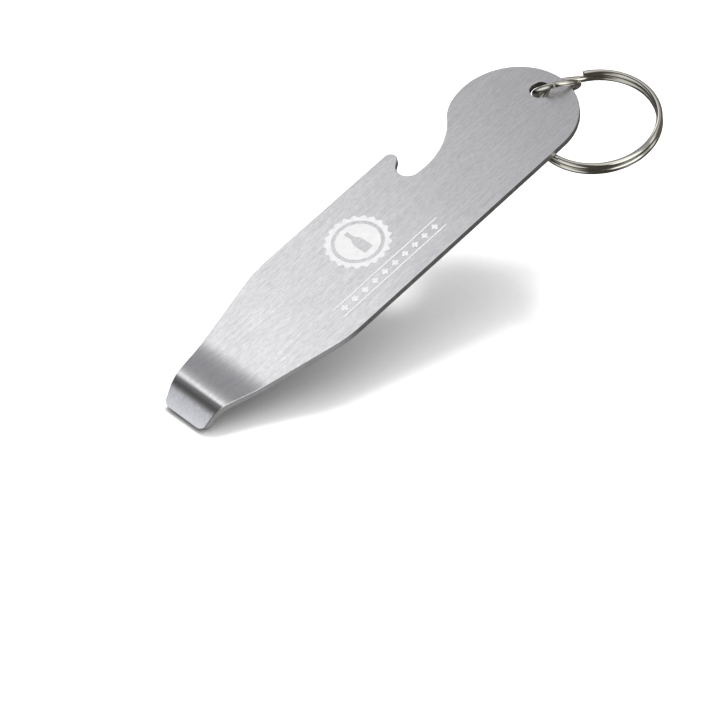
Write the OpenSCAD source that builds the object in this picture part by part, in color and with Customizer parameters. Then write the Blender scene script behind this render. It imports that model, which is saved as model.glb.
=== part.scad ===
/* [Plate] */
// width across the two straight sides
plate_width = 30; // [29.5:0.1:30.5]
// sheet thickness
plate_thickness = 1.7; // [1.5:0.1:1.8]
// distance from the lip's edge to where the round head leaves the straight side
head_start = 106.5; // [106:0.5:108]
// radius of the head beside the straight side
head_side_radius = 14; // [13.5:0.1:14.2]
// radius of the head's end and crown
head_end_radius = 15.5; // [15.4:0.1:15.6]
// direction in which the two head radii meet, from +X
head_meet_angle = -19.6; // [-25:0.2:-15]

/* [Taper] */
// width at the lip's edge
tip_width = 11.8; // [10:0.1:14]
// distance from the lip's edge to the taper's corner
taper_length = 36.9; // [32:0.1:40]
// radius that rounds the taper's corner
taper_radius = 32.5; // [20:0.5:40]

/* [Cap notch] */
// X of the centre of the notch's large arc
notch_x = 82.2; // [82:0.1:82.4]
// Y of the centre of the notch's large arc
notch_y = 24.1; // [24:0.1:24.3]
// radius of the notch's large arc
notch_radius = 18.7; // [18.4:0.1:18.8]
// radius that rounds the head into the notch
shoulder_radius = 10.2; // [9:0.1:10.8]
// radius at the root of the hook
root_radius = 3; // [2.8:0.1:3.1]
// direction of the root from the large arc's centre, from +X
root_angle = -97; // [-98:0.5:-96]
// radius of the hook's nose
hook_radius = 1.7; // [1.5:0.1:1.8]
// X of the centre of the hook's nose
hook_x = 79; // [78.8:0.1:79.4]

/* [Pry lip] */
// distance from the lip's edge to the first bend
bend_start = 18.1; // [17.5:0.1:19]
// front radius of the first bend, which lifts the tip
rise_radius = 40; // [35:0.5:45]
// angle of the first bend
rise_angle = 9.4; // [8:0.1:10]
// straight length after the first bend
rise_length = 1.6; // [1:0.1:2.5]
// front radius of the crest's gentle start
crown_radius = 27; // [20:0.5:35]
// angle turned over the crest's gentle start
crown_angle = 6.4; // [5:0.1:7]
// front radius of the bend that turns the lip down
lip_radius = 6.2; // [5:0.1:6.5]
// slope of the lip below the plate
lip_slope = 37.5; // [34:0.5:40]
// radius of the lip's two corners
lip_corner_radius = 2.7; // [1.5:0.1:3.2]

/* [Ring hole] */
// diameter of the hole for the link ring
hole_diameter = 4.8; // [4.7:0.1:5]
// distance from the lip's edge to the hole
hole_x = 115; // [114.9:0.1:115.1]

/* [Link ring] */
// wire diameter
link_wire = 1.4; // [1.2:0.05:1.4]
// radius of the wire's centre line
link_radius = 5.1; // [5:0.05:5.2]
// gap left between the two butted ends
link_gap = 0.12; // [0.05:0.01:0.2]
// turn of the butt joint about the ring's own axis
link_joint_turn = 174; // [0:1:359]

/* [Split ring] */
// wire diameter
split_wire = 1.5; // [1.3:0.05:1.5]
// radius of the wire's centre line
split_radius = 14.45; // [14.35:0.05:14.6]
// clear space between the two coils
coil_space = 0.05; // [0.03:0.01:0.08]
// half the angle taken by the step from one coil to the other
step_half_angle = 9; // [7:0.5:12]
// clear angle between the step and each cut end
end_clear_angle = 1.5; // [1:0.5:4]
// turn of the step about the ring's own axis
step_turn = 90.5; // [88:0.5:93]

/* [Hidden] */
$fn = 96;

half_width = plate_width / 2;
reach = 12;

// discs are this much larger, so that they cross the straight sides cleanly
arc_grow = 0.002;

function on(c, r, a) = c + r * [cos(a), sin(a)];
function angle_of(v) = atan2(v[1], v[0]);
function mirror_y(p) = [p[0], -p[1]];

// head
head_side_centre = [head_start, head_side_radius - half_width];
head_end_centre = on(head_side_centre, head_side_radius - head_end_radius, head_meet_angle);

// notch shoulder: touches the head's end arc from inside and the large arc from outside
notch_centre = [notch_x, notch_y];
shoulder_in = head_end_radius - shoulder_radius;
shoulder_out = notch_radius + shoulder_radius;
head_to_notch = notch_centre - head_end_centre;
head_notch_gap = norm(head_to_notch);
shoulder_lean = acos((pow(shoulder_in, 2) + pow(head_notch_gap, 2) - pow(shoulder_out, 2))
    / (2 * shoulder_in * head_notch_gap));
shoulder_from = angle_of(head_to_notch) - shoulder_lean;
shoulder_centre = on(head_end_centre, shoulder_in, shoulder_from);
shoulder_to = angle_of(notch_centre - shoulder_centre);

// hook: root arc, straight inner face, nose arc
root_centre = on(notch_centre, notch_radius - root_radius, root_angle);
hook_centre = [hook_x, half_width - hook_radius];
root_to_hook = hook_centre - root_centre;
hook_face = angle_of(root_to_hook) + acos((root_radius + hook_radius) / norm(root_to_hook));

// taper
taper_angle = atan((half_width - tip_width / 2) / taper_length);
taper_tangent = taper_radius * tan(taper_angle / 2);
taper_centre = [taper_length + taper_tangent, half_width - taper_radius];

// side profile of the tip, measured from the plate's front face
rise_centre = [bend_start, rise_radius];
rise_end = on(rise_centre, rise_radius, -90 - rise_angle);
crown_start = rise_end + rise_length * [-cos(rise_angle), sin(rise_angle)];
crown_centre = on(crown_start, crown_radius, -90 - rise_angle);
crown_slope = rise_angle - crown_angle;
lip_start = on(crown_centre, crown_radius, 90 - crown_slope);
lip_centre = on(lip_start, lip_radius, -90 - crown_slope);
lip_end = on(lip_centre, lip_radius, 90 + lip_slope);
lip_depth = lip_end[1] - lip_end[0] * tan(lip_slope);
front_z = -lip_depth;

// the straight part of the lip is cut square to its own faces
lip_tip = [0, lip_depth];
lip_tip_back = on(lip_tip, plate_thickness, -90 + lip_slope);
corner_u = lip_corner_radius * cos(10);
corner_y = tip_width / 2 + tan(taper_angle) * (corner_u * cos(lip_slope)
    + plate_thickness * sin(lip_slope)) - lip_corner_radius;

// rings
link_centre = [118.91, -1.21, -2.41];
link_axis = [0.512, 0.668, 0.541];
split_centre = [117.82, -14.04, -3.99];
split_axis = [0.04, -0.02, 1];
coil_height = (split_wire + coil_space) / 2;
step_from = on([0, 0], split_radius, -step_half_angle);
step_to = on([0, 0], split_radius, step_half_angle);

// The plate's outline by its corners; the arcs between them are added or cut below.
outline = [
    [-reach, -half_width + (taper_length + reach) * tan(taper_angle)],
    on(mirror_y(taper_centre), taper_radius, -90 - taper_angle),
    on(mirror_y(taper_centre), taper_radius, -90),
    on(head_side_centre, head_side_radius, -90),
    on(head_side_centre, head_side_radius, head_meet_angle),
    on(shoulder_centre, shoulder_radius, shoulder_from),
    on(shoulder_centre, shoulder_radius, shoulder_to),
    on(notch_centre, notch_radius, root_angle),
    on(root_centre, root_radius, hook_face),
    on(hook_centre, hook_radius, hook_face - 180),
    on(hook_centre, hook_radius, 90),
    on(taper_centre, taper_radius, 90),
    on(taper_centre, taper_radius, 90 + taper_angle),
    [-reach, half_width - (taper_length + reach) * tan(taper_angle)]
];

// The sheet's side view by its corners: flat, gently raised, then turned down to the lip.
profile = [
    [head_start + 20, 0],
    [bend_start, 0],
    rise_end,
    crown_start,
    lip_start,
    lip_end,
    lip_tip,
    lip_tip_back,
    on(lip_centre, lip_radius - plate_thickness, 90 + lip_slope),
    on(lip_centre, lip_radius - plate_thickness, 90 - crown_slope),
    on(crown_centre, crown_radius - plate_thickness, 90 - rise_angle),
    on(rise_centre, rise_radius + plate_thickness, -90 - rise_angle),
    [bend_start, -plate_thickness],
    [head_start + 20, -plate_thickness]
];

// Part of a disc between two points of its edge, with a kite's sides touching it there.
module round_off(centre, radius, from, to, inner) {
    middle = (from + to) / 2 - centre;
    intersection() {
        translate(centre)
            circle(radius + arc_grow);
        polygon([from, centre + middle * pow(radius / norm(middle), 2), to, inner]);
    }
}

module outline_arc(centre, radius, i, inner) {
    round_off(centre, radius, outline[i], outline[i + 1], inner);
}

module profile_arc(centre, radius, i, inner) {
    round_off(centre, radius, profile[i], profile[i + 1], inner);
}

module plate_outline() {
    difference() {
        union() {
            polygon(outline);
            outline_arc(mirror_y(taper_centre), taper_radius, 1, [taper_length, 0]);
            outline_arc(head_side_centre, head_side_radius, 3, head_side_centre);
            outline_arc(head_end_centre, head_end_radius, 4, head_end_centre);
            outline_arc(shoulder_centre, shoulder_radius, 5, head_side_centre);
            outline_arc(hook_centre, hook_radius, 9, [hook_x - 8, half_width - 3]);
            outline_arc(taper_centre, taper_radius, 11, [taper_length, 0]);
        }
        outline_arc(notch_centre, notch_radius, 6, notch_centre);
        outline_arc(root_centre, root_radius, 7, root_centre);
    }
}

module plate_profile() {
    half_rise = rise_radius + plate_thickness / 2;
    half_crown = crown_radius - plate_thickness / 2;
    half_lip = lip_radius - plate_thickness / 2;
    difference() {
        union() {
            polygon(profile);
            profile_arc(rise_centre, rise_radius + plate_thickness, 11,
                on(rise_centre, half_rise, -90 - rise_angle / 2));
            profile_arc(crown_centre, crown_radius, 3,
                on(crown_centre, half_crown, 90 - rise_angle + crown_angle / 2));
            profile_arc(lip_centre, lip_radius, 4,
                on(lip_centre, half_lip, 90 + (lip_slope - crown_slope) / 2));
        }
        profile_arc(rise_centre, rise_radius, 1, rise_centre);
        profile_arc(crown_centre, crown_radius - plate_thickness, 9, crown_centre);
        profile_arc(lip_centre, lip_radius - plate_thickness, 8, lip_centre);
    }
}

// What is ground away from one corner of the lip, in the lip's own plane.
module lip_corner() {
    linear_extrude(height = reach, center = true)
        difference() {
            translate([corner_u - reach, corner_y])
                square([reach, reach]);
            translate([corner_u, corner_y])
                circle(lip_corner_radius);
        }
}

module opener_plate() {
    color([0.72, 0.72, 0.74])
        translate([0, 0, front_z])
            difference() {
                intersection() {
                    translate([0, 0, -reach])
                        linear_extrude(height = 2 * reach)
                            plate_outline();
                    rotate([90, 0, 0])
                        linear_extrude(height = plate_width + 2 * reach, center = true)
                            plate_profile();
                }
                translate([hole_x, 0, -reach])
                    cylinder(d = hole_diameter, h = 2 * reach);
                for (side = [0, 1])
                    mirror([0, side, 0])
                        translate([0, 0, lip_depth])
                            rotate([0, -lip_slope, 0])
                                lip_corner();
            }
}

// Turns +Z to the given direction and moves to the given centre.
module place(centre, axis) {
    translate(centre + [0, 0, front_z])
        rotate([0, acos(axis[2] / norm(axis)), angle_of(axis)])
            children();
}

// Bent round wire that stops short of closing.
module wire_arc(radius, wire, sweep) {
    rotate_extrude(angle = sweep)
        translate([radius, 0])
            circle(d = wire);
}

module link_ring() {
    gap_angle = link_gap / link_radius * 180 / PI;
    color([0.78, 0.77, 0.74])
        place(link_centre, link_axis)
            rotate([0, 0, link_joint_turn + gap_angle / 2])
                wire_arc(link_radius, link_wire, 360 - gap_angle);
}

// Two flat coils joined by a straight step, with a cut end on each side of it.
module split_ring() {
    step = [step_to[0] - step_from[0], step_to[1] - step_from[1], 2 * coil_height];
    sweep = 360 - 2 * step_half_angle - end_clear_angle;
    color([0.78, 0.77, 0.74])
        place(split_centre, split_axis)
            rotate([0, 0, step_turn])
                union() {
                    translate([0, 0, -coil_height])
                        rotate([0, 0, step_half_angle + end_clear_angle])
                            wire_arc(split_radius, split_wire, sweep);
                    translate([0, 0, coil_height])
                        rotate([0, 0, step_half_angle])
                            wire_arc(split_radius, split_wire, sweep);
                    translate([step_from[0], step_from[1], -coil_height])
                        rotate([0, acos(step[2] / norm(step)), angle_of(step)])
                            cylinder(d = split_wire, h = norm(step));
                    translate([step_from[0], step_from[1], -coil_height])
                        sphere(d = split_wire + 0.04);
                    translate([step_to[0], step_to[1], coil_height])
                        sphere(d = split_wire + 0.04);
                }
}

opener_plate();
link_ring();
split_ring();
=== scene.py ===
import math

import bmesh
import bpy
from mathutils import Matrix, Vector


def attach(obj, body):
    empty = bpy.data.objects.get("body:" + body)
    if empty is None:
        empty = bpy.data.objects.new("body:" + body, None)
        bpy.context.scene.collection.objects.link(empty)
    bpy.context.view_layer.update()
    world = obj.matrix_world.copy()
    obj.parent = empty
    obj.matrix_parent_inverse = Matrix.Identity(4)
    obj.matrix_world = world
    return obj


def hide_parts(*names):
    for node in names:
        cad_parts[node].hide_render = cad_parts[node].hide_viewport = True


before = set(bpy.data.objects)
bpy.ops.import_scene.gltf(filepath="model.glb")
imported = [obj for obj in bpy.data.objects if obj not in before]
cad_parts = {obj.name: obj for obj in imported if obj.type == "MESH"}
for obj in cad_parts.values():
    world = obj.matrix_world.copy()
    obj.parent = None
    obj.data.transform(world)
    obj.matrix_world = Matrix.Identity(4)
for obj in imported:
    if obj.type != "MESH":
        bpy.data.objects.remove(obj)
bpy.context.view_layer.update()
scene = bpy.context.scene
MM = 0.001

# Sizes and places are the part's own, in millimetres, as in its source. The rings' centres are given
# from the plate's front face, which is FRONT_Z above the frame's origin.
FRONT_Z = 2.369
HOLE_X, HOLE_RADIUS = 115.0, 2.4
LINK_CENTRE, LINK_AXIS = Vector((118.91, -1.21, -2.41)), Vector((0.512, 0.668, 0.541))
LINK_RADIUS, LINK_WIRE, LINK_GAP, LINK_TURN = 5.1, 1.4, 0.12, 174.0
SPLIT_CENTRE, SPLIT_AXIS = Vector((117.82, -14.04, -3.99)), Vector((0.04, -0.02, 1.0))
SPLIT_RADIUS, SPLIT_WIRE, SPLIT_SPACE = 14.45, 1.5, 0.05
STEP_HALF, END_CLEAR, STEP_TURN = 9.0, 1.5, 90.5


# ---------------------------------------------------------------- helpers

def link_object(name, mesh, smooth=True):
    obj = bpy.data.objects.new(name, mesh)
    scene.collection.objects.link(obj)
    if smooth:
        mesh.shade_smooth()
    return obj


def weighted_normals(obj, weight, keep_sharp=False):
    """Gives the object normals that follow its larger faces, and makes them part of its mesh."""
    weigh = obj.modifiers.new("weigh", "WEIGHTED_NORMAL")
    weigh.weight = weight
    weigh.keep_sharp = keep_sharp
    bpy.context.view_layer.update()
    graph = bpy.context.evaluated_depsgraph_get()
    mesh = bpy.data.meshes.new_from_object(obj.evaluated_get(graph))
    mesh.name = obj.name
    plain = obj.data
    obj.modifiers.clear()
    obj.data = mesh
    bpy.data.meshes.remove(plain)


class Nodes:
    """Short ways to build a node tree."""

    def __init__(self, tree):
        self.tree = tree
        tree.nodes.clear()

    def add(self, kind, inputs=None, **settings):
        node = self.tree.nodes.new(kind)
        for key, value in settings.items():
            setattr(node, key, value)
        for key, value in (inputs or {}).items():
            socket = node.inputs[key]
            if isinstance(value, bpy.types.NodeSocket):
                self.tree.links.new(value, socket)
            else:
                socket.default_value = value
        return node

    def place(self):
        return self.add("ShaderNodeTexCoord").outputs["Object"]

    def axis(self, vector, name):
        return self.add("ShaderNodeSeparateXYZ", {"Vector": vector}).outputs[name]

    def measure(self, operation, a, b):
        """A number from two vectors."""
        return self.add("ShaderNodeVectorMath", {0: a, 1: b}, operation=operation).outputs["Value"]

    def math(self, operation, a, b):
        return self.add("ShaderNodeMath", {0: a, 1: b}, operation=operation).outputs[0]

    def total(self, first, *others):
        for other in others:
            first = self.math("ADD", first, other)
        return first

    def blend(self, a, b, share):
        """A share of a, and b for the rest."""
        return self.total(self.math("MULTIPLY", a, share), self.math("MULTIPLY", b, 1 - share))

    def span(self, value, low, high, to_low, to_high, smooth=False):
        kind = "SMOOTHSTEP" if smooth else "LINEAR"
        limits = {"From Min": low, "From Max": high, "To Min": to_low, "To Max": to_high}
        node = self.add("ShaderNodeMapRange", {"Value": value, **limits}, interpolation_type=kind)
        return node.outputs["Result"]

    def spread(self, noise, to_low, to_high):
        """Takes a noise, which seldom leaves 0.3 to 0.7, to a range of its own."""
        return self.span(noise, 0.3, 0.7, to_low, to_high)

    def noise(self, vector, scale, detail, rough):
        inputs = {"Vector": vector, "Scale": scale, "Detail": detail, "Roughness": rough}
        return self.add("ShaderNodeTexNoise", inputs).outputs["Fac"]

    def scaled(self, vector, scale):
        return self.add("ShaderNodeMapping", {"Vector": vector, "Scale": scale}).outputs["Vector"]

    def streaks(self, vector, scale, detail, rough):
        """Noise with a scale of its own on each axis, longest where the scale is smallest."""
        return self.noise(self.scaled(vector, scale), 1.0, detail, rough)

    def ramp(self, value, stops):
        node = self.add("ShaderNodeValToRGB", {"Fac": value})
        ramp = node.color_ramp
        ramp.interpolation = "LINEAR"
        while len(ramp.elements) < len(stops):
            ramp.elements.new(0.5)
        for element, (position, shade) in zip(ramp.elements, stops):
            element.position = position
            element.color = colour(*shade)
        return node.outputs["Color"]

    def mix(self, factor, a, b):
        """Two colours, through the Mix node's colour sockets, by number because their names repeat."""
        return self.add("ShaderNodeMix", {0: factor, 6: a, 7: b}, data_type="RGBA").outputs[2]

    def bump(self, height, strength, distance):
        inputs = {"Height": height, "Strength": strength, "Distance": distance}
        return self.add("ShaderNodeBump", inputs).outputs["Normal"]


def new_material(name):
    material = bpy.data.materials.new(name)
    material.use_nodes = True
    return material, Nodes(material.node_tree)


def finish_material(nodes, **inputs):
    named = {key.replace("_", " "): value for key, value in inputs.items()}
    shader = nodes.add("ShaderNodeBsdfPrincipled", named)
    nodes.add("ShaderNodeOutputMaterial", {"Surface": shader.outputs["BSDF"]})


def colour(r, g, b):
    return (r, g, b, 1.0)


# ---------------------------------------------------------------- materials

# the tip of the lip gets a painted highlight: its colour brightens from the first of these to fully at the
# second, in mm along X
TIP_HIGHLIGHT_FROM, TIP_HIGHLIGHT_FULLY = 3.2, 0.4

# the hole's wall gets painted shade, fully up to the first of these past its radius, fading by the second, in
# mm
HOLE_SHADE, HOLE_SHADE_END = 0.6, 1.0

# heights of the fine relief, in metres
METAL_RELIEF, PRINT_RELIEF = 0.00002, 0.00001


def brushed_steel():
    """Sheet brushed along its length: long fine lines, shorter scratches and a faint cloud of tone, with a
    painted highlight toward the lip's tip.
    """
    material, n = new_material("brushed_steel")
    place = n.place()
    lines = n.streaks(place, (26.0, 7400.0, 1200.0), 3.0, 0.7)
    dashes = n.streaks(place, (150.0, 3600.0, 900.0), 2.0, 0.6)
    marks = n.streaks(place, (48.0, 2300.0, 500.0), 1.0, 0.4)
    specks = n.streaks(place, (900.0, 2600.0, 1500.0), 1.0, 0.5)
    cloud = n.noise(place, 60.0, 2.0, 0.5)
    tone = n.total(n.spread(lines, -0.55, 0.55), n.spread(dashes, -0.38, 0.38),
                   n.spread(specks, -0.42, 0.42), n.spread(cloud, -0.12, 0.12),
                   n.span(marks, 0.62, 0.72, 0.0, 0.3, smooth=True))
    shade = n.span(tone, -1.3, 1.3, 0.0, 1.0)
    plain = n.mix(shade, colour(0.53, 0.53, 0.55), colour(0.84, 0.83, 0.85))
    # painted highlight: a brighter copy of the sheet's colour, and the mask that brings it in toward the
    # lip's tip
    highlit = n.mix(shade, colour(0.80, 0.80, 0.82), colour(1.0, 1.0, 1.0))
    painted_tip_highlight = n.span(n.axis(place, "X"), TIP_HIGHLIGHT_FROM * MM, TIP_HIGHLIGHT_FULLY * MM, 0.0, 1.0)
    rough = n.span(tone, -1.3, 1.3, 0.34, 0.26)
    height = n.total(lines, n.math("MULTIPLY", dashes, 0.8))
    along = n.add("ShaderNodeTangent", direction_type="UV_MAP", uv_map="along")
    finish_material(n, Base_Color=n.mix(painted_tip_highlight, plain, highlit), Metallic=1.0, Roughness=rough,
                    Anisotropic=0.88, Normal=n.bump(height, 0.10, METAL_RELIEF),
                    Tangent=along.outputs["Tangent"])
    return material


def cut_edge():
    """The stamped side of the sheet: duller, with short upright marks, and painted shade on the wall inside
    the hole.
    """
    material, n = new_material("cut_edge")
    place = n.place()
    up = n.streaks(place, (1500.0, 1500.0, 260.0), 2.0, 0.6)
    cloud = n.noise(place, 160.0, 2.0, 0.5)
    shade = n.spread(n.blend(up, cloud, 0.6), 0.0, 1.0)
    plain = n.mix(shade, colour(0.58, 0.58, 0.58), colour(0.74, 0.74, 0.74))
    # painted shade: a darker copy of the edge's colour, and the mask that puts it on the hole's wall
    shaded = n.mix(shade, colour(0.16, 0.15, 0.14), colour(0.30, 0.29, 0.27))
    from_hole = n.measure("DISTANCE", n.scaled(place, (1.0, 1.0, 0.0)), Vector((HOLE_X * MM, 0.0, 0.0)))
    hole_shade = n.span(from_hole, (HOLE_RADIUS + HOLE_SHADE) * MM, (HOLE_RADIUS + HOLE_SHADE_END) * MM, 1.0, 0.0)
    finish_material(n, Base_Color=n.mix(hole_shade, plain, shaded), Metallic=1.0,
                    Roughness=n.spread(up, 0.30, 0.42), Normal=n.bump(up, 0.05, METAL_RELIEF))
    return material


def nickel(name, tint):
    """Polished nickel wire with faint drawing lines and small patches of duller plating."""
    material, n = new_material(name)
    wire_uv = n.add("ShaderNodeUVMap", uv_map="along").outputs["UV"]
    lines = n.streaks(wire_uv, (60.0, 26.0, 1.0), 2.0, 0.5)
    patches = n.noise(n.place(), 420.0, 3.0, 0.6)
    base = n.mix(n.span(patches, 0.35, 0.65, 0.0, 1.0), colour(*(0.93 * t for t in tint)), colour(*tint))
    rough = n.total(n.span(patches, 0.35, 0.7, 0.02, 0.06), n.span(lines, 0.4, 0.7, 0.0, 0.02))
    finish_material(n, Base_Color=base, Metallic=1.0, Roughness=rough,
                    Normal=n.bump(lines, 0.04, METAL_RELIEF))
    return material


def white_print():
    """Matt white print, thin enough to let the brushed lines show a little."""
    material, n = new_material("white_print")
    place = n.place()
    lines = n.streaks(place, (70.0, 5200.0, 900.0), 3.0, 0.65)
    cloud = n.noise(place, 700.0, 2.0, 0.5)
    wear = n.blend(lines, cloud, 0.6)
    base = n.mix(n.spread(wear, 0.0, 1.0), colour(0.58, 0.58, 0.59), colour(0.68, 0.68, 0.68))
    finish_material(n, Base_Color=base, Metallic=0.0, Roughness=n.spread(wear, 0.42, 0.55),
                    Normal=n.bump(wear, 0.08, PRINT_RELIEF))
    return material


# ---------------------------------------------------------------- the plate

WELD = 2e-6
FLAT_ANGLE, SHARP_ANGLE = math.radians(0.4), math.radians(40)
EDGE_BREAK = 0.18 * MM
PLATE_UV = 8.0

# a cut side's normal keeps under SIDE_Z along Z; the lip's end face looks down and back past END_X
SIDE_Z, END_X = 0.35, -0.7


def is_cut(normal):
    return abs(normal.z) < SIDE_Z or (normal.x < END_X and normal.z < 0.0)


def dressed_plate():
    """The stamped plate with its edges deburred, faces brushed and sides left as cut."""
    bm = bmesh.new()
    bm.from_mesh(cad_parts["opener_plate"].data)
    bmesh.ops.remove_doubles(bm, verts=bm.verts, dist=WELD)
    bmesh.ops.dissolve_limit(bm, angle_limit=FLAT_ANGLE, verts=bm.verts, edges=bm.edges)
    bm.normal_update()
    sharp = [e for e in bm.edges if len(e.link_faces) == 2 and e.calc_face_angle() > SHARP_ANGLE]
    bmesh.ops.bevel(bm, geom=sharp, offset=EDGE_BREAK, segments=3, profile=0.6, affect="EDGES",
                    clamp_overlap=False)
    mesh = bpy.data.meshes.new("opener_plate_dressed")
    bm.to_mesh(mesh)
    bm.free()
    mesh.materials.append(brushed_steel())
    mesh.materials.append(cut_edge())
    # The brushing takes its direction from this UV, whose second axis runs along the plate.
    uv = mesh.uv_layers.new(name="along")
    for face in mesh.polygons:
        cut = is_cut(face.normal)
        face.material_index = int(cut)
        for loop in face.loop_indices:
            x, y, z = mesh.vertices[mesh.loops[loop].vertex_index].co
            uv.data[loop].uv = ((z if cut else y) * PLATE_UV, x * PLATE_UV)
    plate = link_object("opener_plate_dressed", mesh)
    weighted_normals(plate, weight=90, keep_sharp=True)
    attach(plate, "opener")
    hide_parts("opener_plate")


# ---------------------------------------------------------------- the rings

WIRE_SIDES = 40
WIRE_UV = 0.05

# a cut wire end's rim is broken by RIM, through a corner that lies at this share of it each way
RIM, RIM_CORNER = 0.09, 0.3

# degrees in each straight piece of a coil, and the number of pieces in the key ring's step
LINK_PIECE, SPLIT_PIECE, STEP_PIECES = 3.0, 1.5, 12


def placed(centre, axis):
    """Turns +Z to the axis as the part's source does, then moves to the centre."""
    tilt = math.acos(axis.normalized().z)
    swing = math.atan2(axis.y, axis.x)
    move = Matrix.Translation(centre + Vector((0, 0, FRONT_Z)))
    return move @ Matrix.Rotation(swing, 4, "Z") @ Matrix.Rotation(tilt, 4, "Y")


def arc(radius, start, end, z, piece):
    count = int(abs(end - start) / piece)
    angles = [math.radians(start + (end - start) * i / count) for i in range(count + 1)]
    return [Vector((radius * math.cos(a), radius * math.sin(a), z)) for a in angles]


def eased(points, passes):
    """Rounds a path's corners, leaving its ends where they are."""
    for _ in range(passes):
        inner = [(a + 2 * b + c) / 4 for a, b, c in zip(points, points[1:], points[2:])]
        points = [points[0], *inner, points[-1]]
    return points


def cut_end(point, inward, radius):
    """Centres and radii of a flat cut end with a broken rim, from its middle to the full wire."""
    corner = RIM * RIM_CORNER
    steps = [(0.0, 0.0), (0.0, radius - RIM), (corner, radius - corner), (RIM, radius)]
    return [(point + inward * depth, r) for depth, r in steps]


def wire_sections(points, radius):
    """Centre, direction and radius of each cross-section of a wire along a path."""
    first, last = (points[1] - points[0]).normalized(), (points[-1] - points[-2]).normalized()
    start = [(centre, first, r) for centre, r in cut_end(points[0], first, radius)]
    middle = [(b, (c - a).normalized(), radius) for a, b, c in zip(points, points[1:], points[2:])]
    end = [(centre, last, r) for centre, r in cut_end(points[-1], -last, radius)]
    return start + middle + end[::-1]


def swept_mesh(name, sections):
    """A closed skin over the cross-sections, without twist, with a UV along the wire and round it."""
    bm = bmesh.new()
    uv = bm.loops.layers.uv.new("along")
    turns = [2 * math.pi * j / WIRE_SIDES for j in range(WIRE_SIDES)]
    before = sections[0][0]
    side = sections[0][1].orthogonal().normalized()
    rows, along, run = [], [], 0.0
    for centre, tangent, radius in sections:
        side = (side - tangent * side.dot(tangent)).normalized()
        other = tangent.cross(side)
        run += (centre - before).length
        before = centre
        along.append(run)
        spokes = [side * math.cos(t) + other * math.sin(t) for t in turns] if radius else [side]
        rows.append([bm.verts.new((centre + spoke * radius) * MM) for spoke in spokes])
    for k in range(len(rows) - 1):
        for j in range(WIRE_SIDES):
            square = [(k, j), (k, j + 1), (k + 1, j + 1), (k + 1, j)]
            corners = [(row, column) for row, column in square if len(rows[row]) > 1 or column == j]
            face = bm.faces.new([rows[row][column % len(rows[row])] for row, column in corners])
            for loop, (row, column) in zip(face.loops, corners):
                loop[uv].uv = (along[row] * WIRE_UV, column / WIRE_SIDES)
    bmesh.ops.recalc_face_normals(bm, faces=bm.faces)
    mesh = bpy.data.meshes.new(name)
    bm.to_mesh(mesh)
    bm.free()
    return mesh


def wire(name, path, diameter, transform, material):
    """A round wire along a path, with flat cut ends whose rims are just broken."""
    mesh = swept_mesh(name, wire_sections([transform @ p for p in path], diameter / 2))
    mesh.materials.append(material)
    obj = link_object(name, mesh)
    weighted_normals(obj, weight=60)
    return obj


def link_wire():
    """One turn of wire with butted ends."""
    gap = math.degrees(LINK_GAP / LINK_RADIUS)
    path = arc(LINK_RADIUS, LINK_TURN + gap / 2, LINK_TURN + 360 - gap / 2, 0.0, LINK_PIECE)
    ring = wire("link_ring_wire", path, LINK_WIRE, placed(LINK_CENTRE, LINK_AXIS),
                nickel("nickel_link", (0.73, 0.71, 0.63)))
    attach(ring, "link")
    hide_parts("link_ring")


def split_wire():
    """Two flat coils of one wire, with a short step from the lower to the upper."""
    rise = (SPLIT_WIRE + SPLIT_SPACE) / 2
    sweep = 360 - 2 * STEP_HALF - END_CLEAR
    lower = arc(SPLIT_RADIUS, STEP_HALF + END_CLEAR, STEP_HALF + END_CLEAR + sweep, -rise, SPLIT_PIECE)
    upper = arc(SPLIT_RADIUS, STEP_HALF, STEP_HALF + sweep, rise, SPLIT_PIECE)
    step = [lower[-1].lerp(upper[0], i / STEP_PIECES) for i in range(1, STEP_PIECES)]
    path = eased([*lower, *step, *upper], passes=8)
    turned = placed(SPLIT_CENTRE, SPLIT_AXIS) @ Matrix.Rotation(math.radians(STEP_TURN), 4, "Z")
    ring = wire("split_ring_wire", path, SPLIT_WIRE, turned, nickel("nickel_split", (0.73, 0.71, 0.64)))
    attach(ring, "key_ring")
    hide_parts("split_ring")


# ---------------------------------------------------------------- the printed mark

# All in millimetres. The ink reaches INK_HALF either side of a plane INK_LIFT above the front face.
INK_HALF, INK_LIFT = 0.012, 0.008
MARK_X, MARK_Y = 57.3, 2.2
CAP_RADIUS, CAP_INNER, DISC_RADIUS = 7.4, 6.1, 5.2
SCALLOPS, SCALLOP_DEPTH = 21, 0.32
BOTTLE_HALF = [(0.0, 3.9), (0.55, 3.9), (0.55, 3.3), (0.5, 3.2), (0.5, 1.7), (0.75, 1.1), (1.25, 0.35),
               (1.3, 0.1), (1.3, -3.3), (1.1, -3.55), (0.0, -3.55)]
RULE_START, RULE_END, RULE_WIDTH = 40.0, 73.0, 0.34
RULE_PLACES = (-7.3, -10.4)
BEADS, BEAD_START, BEAD_PITCH, BEAD_Y = 10, 42.2, 3.18, -8.68
BEAD_RADIUS, BEAD_WAVE, BEAD_LOBES = 0.72, 0.16, 4


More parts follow.
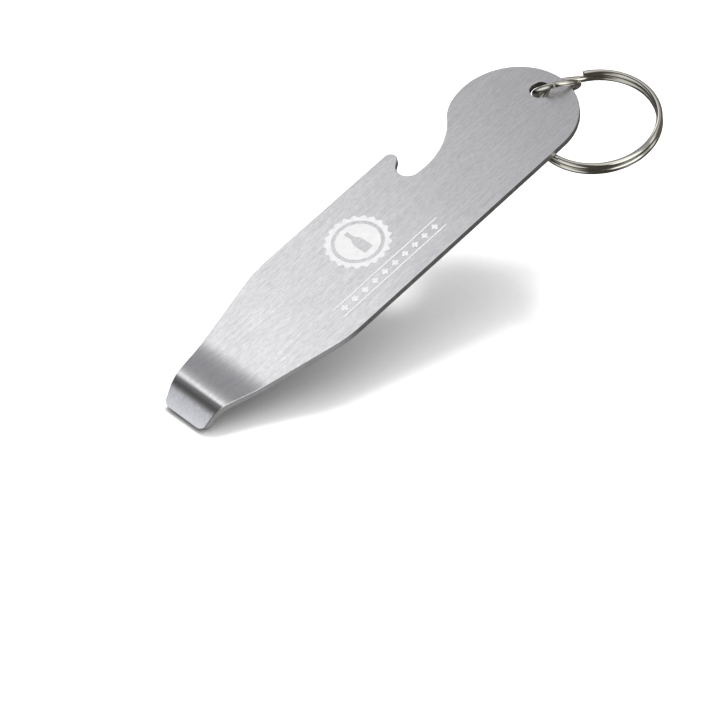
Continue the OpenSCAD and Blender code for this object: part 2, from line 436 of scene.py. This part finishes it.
def flat_shape(name, loops, material):
    """Closed outlines in millimetres on the front face, filled even-odd, as a thin raised print."""
    curve = bpy.data.curves.new(name, "CURVE")
    curve.dimensions = "2D"
    curve.fill_mode = "BOTH"
    curve.extrude = INK_HALF * MM
    for loop in loops:
        spline = curve.splines.new("POLY")
        spline.points.add(len(loop) - 1)
        spline.use_cyclic_u = True
        for point, (x, y) in zip(spline.points, loop):
            point.co = (x * MM, y * MM, 0.0, 1.0)
    source = bpy.data.objects.new(name, curve)
    scene.collection.objects.link(source)
    bpy.context.view_layer.update()
    mesh = bpy.data.meshes.new_from_object(source.evaluated_get(bpy.context.evaluated_depsgraph_get()))
    bpy.data.objects.remove(source)
    bpy.data.curves.remove(curve)
    mesh.transform(Matrix.Translation((0, 0, (FRONT_Z + INK_LIFT) * MM)))
    mesh.name = name
    mesh.materials.clear()
    mesh.materials.append(material)
    obj = link_object(name, mesh, smooth=False)
    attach(obj, "opener")


def round_loop(x, y, radius, wave=0.0, lobes=0, count=252):
    """A circle, or a circle whose radius waves in and out."""
    loop = []
    for i in range(count):
        a = 2 * math.pi * i / count
        r = radius + wave * math.cos(lobes * a)
        loop.append((x + r * math.cos(a), y + r * math.sin(a)))
    return loop


def printed_mark():
    """A generic mark where the real plate has its print: a crown cap from above, two rules and beads."""
    white = white_print()
    scalloped = round_loop(MARK_X, MARK_Y, CAP_RADIUS, SCALLOP_DEPTH, SCALLOPS)
    flat_shape("mark_cap", [scalloped, round_loop(MARK_X, MARK_Y, CAP_INNER)], white)
    right = [(MARK_X + x, MARK_Y + y) for x, y in BOTTLE_HALF]
    left = [(MARK_X - x, MARK_Y + y) for x, y in BOTTLE_HALF[-2:0:-1]]
    flat_shape("mark_disc", [round_loop(MARK_X, MARK_Y, DISC_RADIUS), right + left], white)
    rules = []
    for low in RULE_PLACES:
        high = low + RULE_WIDTH
        rules.append([(RULE_START, low), (RULE_END, low), (RULE_END, high), (RULE_START, high)])
    beads = [round_loop(BEAD_START + BEAD_PITCH * i, BEAD_Y, BEAD_RADIUS, BEAD_WAVE, BEAD_LOBES, count=40)
             for i in range(BEADS)]
    flat_shape("mark_rules", rules + beads, white)


# ---------------------------------------------------------------- stage

# the photo's camera: where it looks, which way is up in the picture, where it stands, and its lens
VIEW = Vector((0.3493, 0.5199, -0.7796)).normalized()
UP = Vector((0.6315, 0.4840, 0.6057))
EYE = Vector((-201.1, -371.3, 524.6 + FRONT_Z)) * MM
SENSOR_MM, LENS_MM = 36.0, 156.4

# the paper passes just under the lip and falls away from the raised head
FLOOR_UP = Vector((0.324, 0.012, 0.946)).normalized()
FLOOR_DROP = 1.0 * MM
FLOOR_HALF = 3.0

# direction, strength and angular size of the sharp key light and of the broad one round it
KEY_LIGHTS = [((-0.659, -0.233, -0.715), 1.35, 13.0), ((-0.650, -0.225, -0.725), 0.65, 30.0)]

WORLD_STRENGTH = 3.0

# light that matt surfaces get from the world, before its strength: the least and the most, where the most
# comes from, and the cosines of the angle from there between which the one changes to the other
FILL = (0.02, 0.60)
FILL_FROM = Vector((0.60, 0.05, 0.80)).normalized()
FILL_EDGE = (0.25, 0.95)

# What metal reflects, by the direction's X from -1 to 1: the brightness and, where it isn't plain grey,
# how blue it is. Above the horizon, far is a high Y and near is a low one.
ABOVE_FAR = [(-1.0, 1.0), (-0.84, 1.0), (-0.76, 1.02, 0.07), (-0.64, 0.82, 0.09), (-0.54, 0.50),
             (-0.46, 0.32), (-0.36, 0.12), (-0.20, 0.05), (0.08, 0.12), (0.16, 0.55), (0.24, 1.25),
             (0.33, 1.34), (0.36, 1.20), (0.385, 0.90), (0.41, 0.64, 0.02), (0.445, 0.38, 0.04),
             (0.50, 0.36, 0.04), (0.64, 0.34, 0.03), (0.70, 0.7), (0.80, 0.5), (0.88, 0.18), (1.0, 0.15)]
ABOVE_NEAR = [(-1.0, 1.2), (-0.94, 0.9), (-0.86, 0.08), (-0.60, 0.04, -0.3), (-0.36, 0.08, -0.3),
              (-0.22, 0.30), (-0.10, 0.85), (0.20, 1.20), (0.34, 1.25), (0.385, 1.0), (0.445, 0.55),
              (0.52, 0.45), (0.60, 0.45), (0.66, 0.95), (0.74, 0.85), (0.82, 0.16), (1.0, 0.12, -0.2)]
BELOW = [(-1.0, 1.1), (-0.93, 0.9), (-0.86, 0.08, -0.2), (-0.40, 0.05, -0.2), (-0.20, 0.10),
         (0.10, 0.12), (0.32, 0.08), (0.6, 0.08, -0.2), (1.0, 0.14, -0.2)]

# the soft change from near to far, by Y, and from below the horizon to above it, by Z
NEAR_TO_FAR, HORIZON = (-0.25, 0.15), (-0.12, 0.10)

# direction, cosines of the soft edge, and brightness of the small boxes that light the near edge and side
SOFT_BOXES = [(Vector((0.02, -0.81, 0.57)).normalized(), 0.90, 0.965, 1.6),
              (Vector((0.063, -0.623, -0.78)).normalized(), 0.965, 0.99, 0.60)]


def camera():
    data = bpy.data.cameras.new("camera")
    data.sensor_width = SENSOR_MM
    data.lens = LENS_MM
    data.clip_start, data.clip_end = 0.01, 20.0
    right = VIEW.cross(UP).normalized()
    up = right.cross(VIEW)
    turn = Matrix((right, up, -VIEW)).transposed().to_4x4()
    obj = bpy.data.objects.new("camera", data)
    scene.collection.objects.link(obj)
    obj.matrix_world = Matrix.Translation(EYE) @ turn
    scene.camera = obj


def floor():
    """A wide pale sheet under the lip; the head end hangs clear of it, as in the studio."""
    bm = bmesh.new()
    bmesh.ops.create_grid(bm, x_segments=4, y_segments=4, size=FLOOR_HALF)
    mesh = bpy.data.meshes.new("floor")
    bm.to_mesh(mesh)
    bm.free()
    obj = link_object("floor", mesh, smooth=False)
    obj.matrix_world = (Matrix.Translation(FLOOR_UP * -FLOOR_DROP)
                        @ FLOOR_UP.to_track_quat("Z", "Y").to_matrix().to_4x4())
    material, n = new_material("paper_white")
    tone = n.spread(n.noise(n.place(), 900.0, 2.0, 0.5), 0.0, 1.0)
    base = n.mix(tone, colour(0.90, 0.90, 0.90), colour(0.92, 0.92, 0.92))
    finish_material(n, Base_Color=base, Roughness=0.9)
    mesh.materials.append(material)
    obj.visible_glossy = False


def sun(direction, strength, angle):
    """A key light: it lights the paper and casts the shadow, and shows in no reflection."""
    data = bpy.data.lights.new("key", "SUN")
    data.energy = strength
    data.angle = math.radians(angle)
    obj = bpy.data.objects.new("key", data)
    scene.collection.objects.link(obj)
    obj.matrix_world = Vector(direction).normalized().to_track_quat("-Z", "Y").to_matrix().to_4x4()
    obj.visible_glossy = False


def grey(brightness, blue=0.0):
    """A grey that the world's strength brings to this brightness: bluish, or below zero warm."""
    v = brightness / WORLD_STRENGTH
    return (v * (1 - blue * 0.5), v * (1 - blue * 0.2), v * (1 + blue * 0.5))


def across(stops):
    """Ramp stops and their greys, from stops given at a direction's X."""
    return [((x + 1) / 2, grey(*shade)) for x, *shade in stops]


def studio():
    """White to the eye, a soft fill to matt surfaces, and to metal soft boxes, a dark room and a table."""
    world = bpy.data.worlds.new("studio")
    world.use_nodes = True
    scene.world = world
    n = Nodes(world.node_tree)
    direction = n.add("ShaderNodeTexCoord").outputs["Generated"]
    along = n.span(n.axis(direction, "X"), -1.0, 1.0, 0.0, 1.0)
    far = n.span(n.axis(direction, "Y"), *NEAR_TO_FAR, 0.0, 1.0, smooth=True)
    up = n.span(n.axis(direction, "Z"), *HORIZON, 0.0, 1.0, smooth=True)
    above = n.mix(far, n.ramp(along, across(ABOVE_NEAR)), n.ramp(along, across(ABOVE_FAR)))
    light = n.mix(up, n.ramp(along, across(BELOW)), above)
    for box, reach, edge, glow in SOFT_BOXES:
        near = n.measure("DOT_PRODUCT", direction, box)
        light = n.mix(n.span(near, reach, edge, 0.0, 1.0, smooth=True), light, colour(*grey(glow)))
    fill = n.span(n.measure("DOT_PRODUCT", direction, FILL_FROM), *FILL_EDGE, *FILL, smooth=True)
    rays = n.add("ShaderNodeLightPath").outputs
    light = n.mix(rays["Is Diffuse Ray"], light, fill)
    shown = n.mix(rays["Is Camera Ray"], light, colour(*grey(1.0)))
    background = n.add("ShaderNodeBackground", {"Color": shown, "Strength": WORLD_STRENGTH})
    n.add("ShaderNodeOutputWorld", {"Surface": background.outputs[0]})
    scene.view_settings.view_transform = "Standard"
    scene.view_settings.look = "None"


camera()
studio()
for direction, strength, angle in KEY_LIGHTS:
    sun(direction, strength, angle)
floor()
dressed_plate()
link_wire()
split_wire()
printed_mark()
